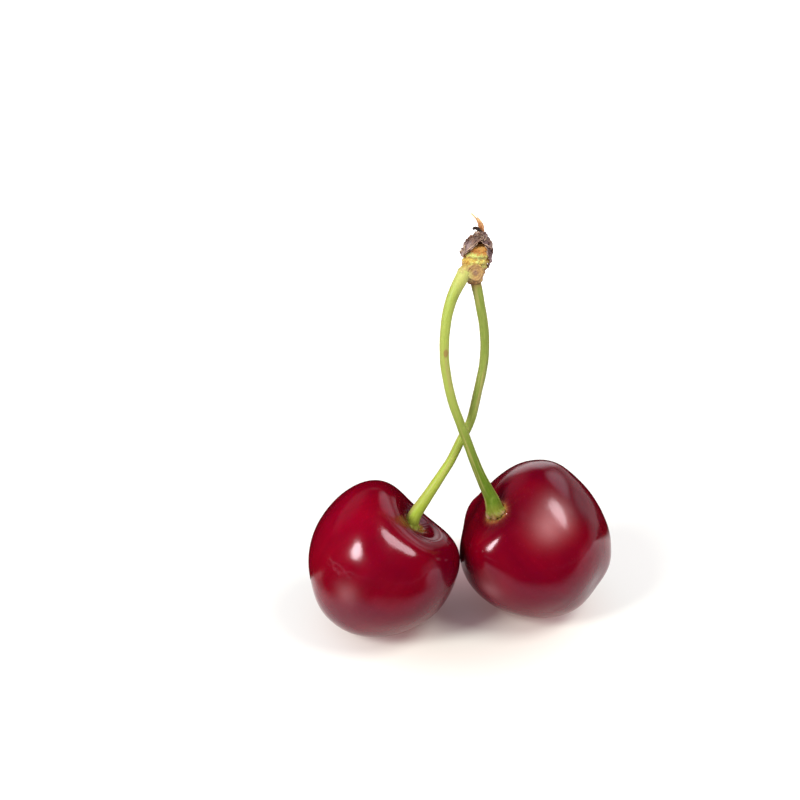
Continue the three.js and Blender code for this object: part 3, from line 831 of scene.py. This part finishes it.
def collar(side):
    # from a lip round the stalk's end to the heart of the spur, with a bead behind the lip
    lip, root, down, bead = spurForm["collars"][side]
    end = np.array(stalkForms[side]["end"])
    way = unit(end - np.array(stalkForms[side]["through"][-1]))
    heart = np.array(spurForm["centre"]) - (0, 0, spurForm["heartDrop"])
    sides, steps = spurForm["collarGrid"]
    points = [end - way * (down - spurForm["collarStart"]), end + way * spurForm["collarSunk"], heart]
    line, run = curveThrough(points, steps)
    share = run / run[-1]
    radius = lip + (root - lip) * easing(share, 0, 0.6)
    radius += bead * bell(share - 0.14, 0.07) - 0.25 * bell(share, 0.03)
    return tube(line, radius, sides)


def remeshed(skins, voxel, smoothing):
    # the overlapping skins become one even skin; returns its points, quads and normals in mm
    loose = setOut("loose", skinMesh("loose", joinSkins([closedSkin(p) for p in skins]), scale=1.0))
    grid = loose.modifiers.new("even", "REMESH")
    grid.mode, grid.voxel_size = "VOXEL", voxel
    calm = loose.modifiers.new("calm", "SMOOTH")
    calm.factor, calm.iterations = 0.5, smoothing
    mesh = bpy.data.meshes.new_from_object(loose.evaluated_get(bpy.context.evaluated_depsgraph_get()))
    points, normals = np.empty(len(mesh.vertices) * 3), np.empty(len(mesh.vertices) * 3)
    mesh.vertices.foreach_get("co", points)
    mesh.vertex_normals.foreach_get("vector", normals)
    quads = np.empty(len(mesh.loops), int)
    mesh.loops.foreach_get("vertex_index", quads)
    bpy.data.objects.remove(loose)
    bpy.data.meshes.remove(mesh)
    return points.reshape(-1, 3), quads.reshape(-1, 4), normals.reshape(-1, 3)


def nearestScar(own):
    # how far each point lies from the middle of the nearest scar, in scar sizes, and the turn round it
    scar, scarTurn = np.full(len(own), 9.0), np.zeros(len(own))
    for facing, level, size in spurForm["scars"]:
        way = direction(np.pi / 2, np.radians(facing))
        offset = own - (0, 0, level)
        outward = offset @ way
        off = np.linalg.norm(offset - outward[:, None] * way, axis=1) / size
        near = (outward > 1.2) & (off < scar)
        scar = np.where(near, off, scar)
        turned = np.arctan2(offset[:, 2], offset @ np.cross((0, 0, 1.0), way))
        scarTurn = np.where(near, turned, scarTurn)
    return scar, scarTurn


def makeSpur():
    f = spurForm
    skins = [spurCushion(), *[scarStub(*s) for s in f["scars"]], collar("left"), collar("right")]
    p, quads, normals = remeshed(skins, f["voxel"], f["smoothing"])
    own = (p - np.array(f["centre"])) @ turn("Y", f["lean"])
    scar, scarTurn = nearestScar(own)
    h = np.zeros(len(p))
    for k, (size, high) in enumerate(f["wrinkles"]):
        h += high * waves(p * (1, 1, 1.6), size, f["seed"] + k)
    size, deep, wide = f["cracks"]
    cracks = np.abs(waves(p * (1, 1, 2.2), size, f["seed"] + 9))
    h -= deep * bell(cracks, wide)
    h *= 0.35 + 0.65 * easing(scar, *f["scarCalm"])
    p = p + normals * h[:, None]
    marks = {"height": own[:, 2], "scar": scar, "crack": cracks, "scarTurn": scarTurn}
    for side in ("left", "right"):
        marks[side + "End"] = np.linalg.norm(p - np.array(stalkForms[side]["end"]), axis=1)
    skin = {"points": p, "quads": quads, "fans": np.zeros((0, 3), int),
            "marks": {name: value[:, None] for name, value in marks.items()}}
    piece = makePiece("spur", skin, spurSkin())
    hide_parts("spur")


spurPaint = {
    "cushion": "b08a3c", "lime": ("a09a58", 1.0), "blot": ("96582a", 0.8), "base": "86603e",
    "baseSpot": ("a58056", 1.0), "crack": ("8a4a22", 0.75), "scar": "7e5c4c", "scarRim": ("967048", 1.0),
    "scarRing": ("7c5440", 0.5), "rightCollar": ("a0985a", 0.7), "leftCollar": ("5c3418", 0.85),
    "underCap": ("96501e", 0.75),
}


def spurSkin():
    # yellow, lime and rust by noise, a woody base, rings on the scars and a browned top
    f = Finish("spurSkin", spurPaint, coat=0.12, coatRoughness=0.35, specular=0.3, glow=0.12,
               glowReach=(0.8, 0.5, 0.2), glowScale=0.0005)
    place, height, scar = f.place(), f.read("height"), f.read("scar")
    broad, small = f.noise(place, 0.0016, 3, 0.6, 0.5), f.noise(place, 0.0005, 4, 0.65)
    base = f.layer(spurPaint["base"], "baseSpot", small, 0.4, 0.62)
    swirl = f.plus(f.math("MULTIPLY", scar, 9.0), broad, 17.0)
    swirl = f.math("SINE", f.math("ADD", swirl, f.read("scarTurn")))
    wood = f.layer(spurPaint["scar"], "scarRim", scar, 0.15, 0.5)
    wood = f.layer(wood, "scarRing", swirl, -0.2, 1.0)
    body = f.layer(spurPaint["cushion"], "lime", broad, 0.38, 0.6)
    body = f.layer(body, "blot", small, 0.48, 0.68)
    body = f.blend(f.ramp(f.plus(height, broad, 1.2), 0.9, -0.6), body, base)
    body = f.layer(body, "crack", f.read("crack"), 0.22, 0.05)
    body = f.blend(f.ramp(scar, 1.15, 0.95), body, wood)
    body = f.layer(body, "rightCollar", f.read("rightEnd"), 2.0, 1.0)
    body = f.layer(body, "underCap", f.plus(height, small, 0.5), 1.75, 2.3)
    f.colour(f.layer(body, "leftCollar", f.plus(f.read("leftEnd"), small, 0.8), 1.9, 1.4))
    f.roughness(f.ramp(small, 0.3, 0.7, 0.5, 0.75))
    f.bump(small, 0.05)
    return f.material


makeSpur()
print("spur made")


scaleForm = {
    "dome": (1.85, 3.0, 1.0, 1.45),   # radius, height, base and taper of the dome that they wrap
    "proud": 0.4, "thick": 0.2, "tilt": 0.14, "seed": 53, "rings": 44, "sides": 52,
    # whorls from the outermost: turns, from, to (degrees down), spread, layer, flare
    "whorls": (
        ((186, 350, 40, 90, 138), 34, (95, 122, 104, 100, 98), 44, 0.0, 0.2),
        ((200, 262, 322, 15, 75, 135), 16, (84, 46, 64, 92, 80, 76), 37, 0.2, 0.16),
        ((222, 296, 350, 60, 155), 8, (63, 36, 62, 50, 50), 34, 0.34, 0.16),
        ((190, 270, 350, 75), 4, (31, 24, 34, 32), 30, 0.52, 0.1),
    ),
    "wrinkles": ((0.9, 0.09), (0.4, 0.045)),       # wave size and height
    "ribs": (13, 0.035), "ridges": (15, 0.05),     # waves along and across a scale, and their heights
    "lobe": 0.1, "ragged": 0.04,
}


def domePoint(polar, around, out):
    radius, height, base, taper = scaleForm["dome"]
    reach = (radius + out) * np.sin(polar) ** taper
    return np.stack((reach * np.cos(around), reach * np.sin(around),
                     base + (height + out) * np.cos(polar)), -1)


def bladeGrid(rings, sides):
    # down runs 0 to 1 from root to tip; across goes -1 to 1 over the front and back under it
    down = np.linspace(0, 1, rings)[:, None] * np.ones(sides)
    phase = np.linspace(0, 2 * np.pi, sides, endpoint=False)[None] * np.ones((rings, 1))
    return down, -np.cos(phase), np.sin(phase)


def scaleBlade(facing, start, stop, spread, layer, flare, seed):
    # a thin leaf wrapped on the dome: widest at its middle, ragged, ribbed, wrinkled, and lifted at
    # its free end
    f = scaleForm
    down, across, front = bladeGrid(f["rings"], f["sides"])
    flat = np.stack((across * 2, down * 3, 0 * down + seed * 0.37), -1)
    ragged = waves(flat, 0.8, seed)
    outline = 0.85 + 0.15 * np.sin(np.pi * down) - 0.3 * down ** 5
    outline *= 1 + f["ragged"] * ragged * np.abs(across)
    tip = down * (1 - 0.3 * across ** 2 * down) * (1 + 0.03 * ragged * down ** 3)
    polar = np.radians(start + (stop - start) * tip)
    halfWide = np.radians(spread) * outline / np.maximum(np.sin(polar), 0.45)
    around = np.radians(facing) + across * halfWide
    out = layer + flare * down ** 2 + f["tilt"] * across + f["proud"] + f["lobe"] * across ** 2 * down
    count, high = f["ribs"]
    out += high * np.sin(count * across + 0.8 * ragged) * easing(down, 0.1, 0.5)
    count, high = f["ridges"]
    out += high * np.sin(count * down + 1.5 * ragged + across) * easing(down, 0.25, 0.6)
    for k, (size, high) in enumerate(f["wrinkles"]):
        out += high * waves(flat, size, seed + 7 + k)
    thick = f["thick"] * (1 - 0.6 * down ** 4) * np.abs(front) ** 0.7 * np.sign(front) / 2
    p = onSpur(domePoint(polar, around, out + thick))
    marks = {"edge": np.maximum(np.abs(across) ** 3, down ** 5),
             "inside": (front < -0.05).astype(float),
             "fibre": np.stack((across, down * 0.25, 0 * down + seed * 0.1), -1),
             "down": down, "tone": 0 * down + np.random.default_rng(seed).uniform()}
    return closedSkin(p, marks)


def makeBudScales():
    blades, k = [], scaleForm["seed"]
    for turns, start, stops, spread, layer, flare in scaleForm["whorls"]:
        for facing, stop in zip(turns, stops):
            blades.append(scaleBlade(facing, start, stop, spread, layer, flare, k))
            k += 1
    piece = makePiece("budScales", joinSkins(blades), scaleSkin())
    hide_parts("bud_scales")


scalePaint = {
    "dry": "42262e", "pale": ("846068", 1.0), "blot": ("8c727a", 0.7), "brown": ("64402e", 0.5),
    "root": ("2a1a1a", 0.6), "rimAndGlint": ("b08f80", 0.75), "inside": ("6c3c1e", 0.85),
}


def scaleSkin():
    # purple-brown fibres and blots, some scales browner, painted shade at the root where the next scale
    # lies over it, and a pale rim, the scales' dry edges with a painted glint
    f = Finish("scaleSkin", scalePaint, specular=0.35)
    fibre = f.noise(f.read("fibre", "Vector"), 0.09, 4, 0.7)
    body = f.layer(scalePaint["dry"], "pale", fibre, 0.35, 0.68)
    body = f.layer(body, "blot", f.noise(f.place(), 0.0011, 3, 0.6), 0.45, 0.7)
    body = f.layer(body, "brown", f.read("tone"), 0.4, 1.0)
    # painted shade: dark towards each scale's root, under the scale that lies over it
    body = f.layer(body, "root", f.read("down"), 0.75, 0.35)
    # pale rim: the scales' own dry edges, and partly a painted glint along them
    body = f.layer(body, "rimAndGlint", f.plus(f.read("edge"), fibre, 1.1), 1.15, 1.6)
    f.colour(f.wash(body, "inside", f.read("inside")))
    f.roughness(f.ramp(fibre, 0.3, 0.7, 0.5, 0.8))
    f.bump(fibre, 0.04)
    return f.material


makeBudScales()
print("bud scales made")


# each strand: points, width and thickness at root and tip, twist in turns
wispForm = {
    "strands": (
        (((3.78, 6.2, 67.2), (3.76, 6.2, 68.0), (3.49, 6.2, 68.74), (3.08, 6.3, 69.46),
          (2.59, 6.35, 70.04), (2.1, 6.4, 70.5)), (0.75, 0.5), (0.34, 0.22), 0.3),
        (((4.0, 6.1, 67.3), (4.02, 6.05, 68.2), (3.75, 6.1, 68.9), (3.3, 6.15, 69.55),
          (3.05, 6.1, 69.95)), (0.55, 0.34), (0.3, 0.18), -0.2),
        (((3.5, 5.9, 67.3), (3.3, 5.75, 67.9), (2.95, 5.65, 68.2), (2.5, 5.6, 68.3),
          (2.2, 5.5, 68.1)), (0.6, 0.6), (0.34, 0.3), 0.1),
    ),
    "crumbTip": 0.25,                 # a strand with a thicker tip than this is a dark crumb
    "ragged": (0.7, 0.14), "seed": 71, "rings": 70, "sides": 20,
}


def strand(points, width, thick, turns, seed):
    # a flat oval section that narrows, twists and frays along its line
    f = wispForm
    line, _ = curveThrough(points, f["rings"])
    share = np.linspace(0, 1, f["rings"])[:, None]
    sideways, across = crossWays(line)
    angle = 2 * np.pi * turns * share
    wideWay = sideways * np.cos(angle) + across * np.sin(angle)
    thinWay = across * np.cos(angle) - sideways * np.sin(angle)
    around = np.linspace(0, 2 * np.pi, f["sides"], endpoint=False)
    closing = np.sqrt(np.clip(1 - ((share - 0.5) * 2) ** 12, 0, 1)) + 0.02
    size, high = f["ragged"]
    frayed = 1 + high * waves(np.concatenate((share * 6, 0 * share, 0 * share), 1), size, seed)
    w = (width[0] + (width[1] - width[0]) * share) / 2 * closing * frayed[:, None]
    t = (thick[0] + (thick[1] - thick[0]) * share) / 2 * closing
    p = (line[:, None] + wideWay[:, None] * (w * np.cos(around))[..., None]
         + thinWay[:, None] * (t * np.sin(around))[..., None])
    crumb = float(thick[1] > f["crumbTip"])
    marks = {"share": share * np.ones((1, f["sides"])), "crumb": np.full(p.shape[:2], crumb)}
    return closedSkin(p, marks)


wispPaint = {
    "bark": "8c4a24", "straw": ("b07e5c", 1.0), "tip": ("c49c76", 1.0), "crumb": ("30201e", 1.0),
}


def wispSkin():
    # rusty fibres that bleach towards the tip
    f = Finish("wispSkin", wispPaint, roughness=0.75, specular=0.25)
    fibre = f.noise(f.place(), 0.0004, 4, 0.7)
    body = f.layer(wispPaint["bark"], "straw", fibre, 0.35, 0.65)
    body = f.layer(body, "tip", f.read("share"), 0.3, 0.95)
    f.colour(f.wash(body, "crumb", f.read("crumb")))
    f.bump(fibre, 0.03)
    return f.material


strands = [strand(*form, wispForm["seed"] + k) for k, form in enumerate(wispForm["strands"])]
wisp = makePiece("dryWisp", joinSkins(strands), wispSkin())
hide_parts("dry_wisp")
print("wisp made")
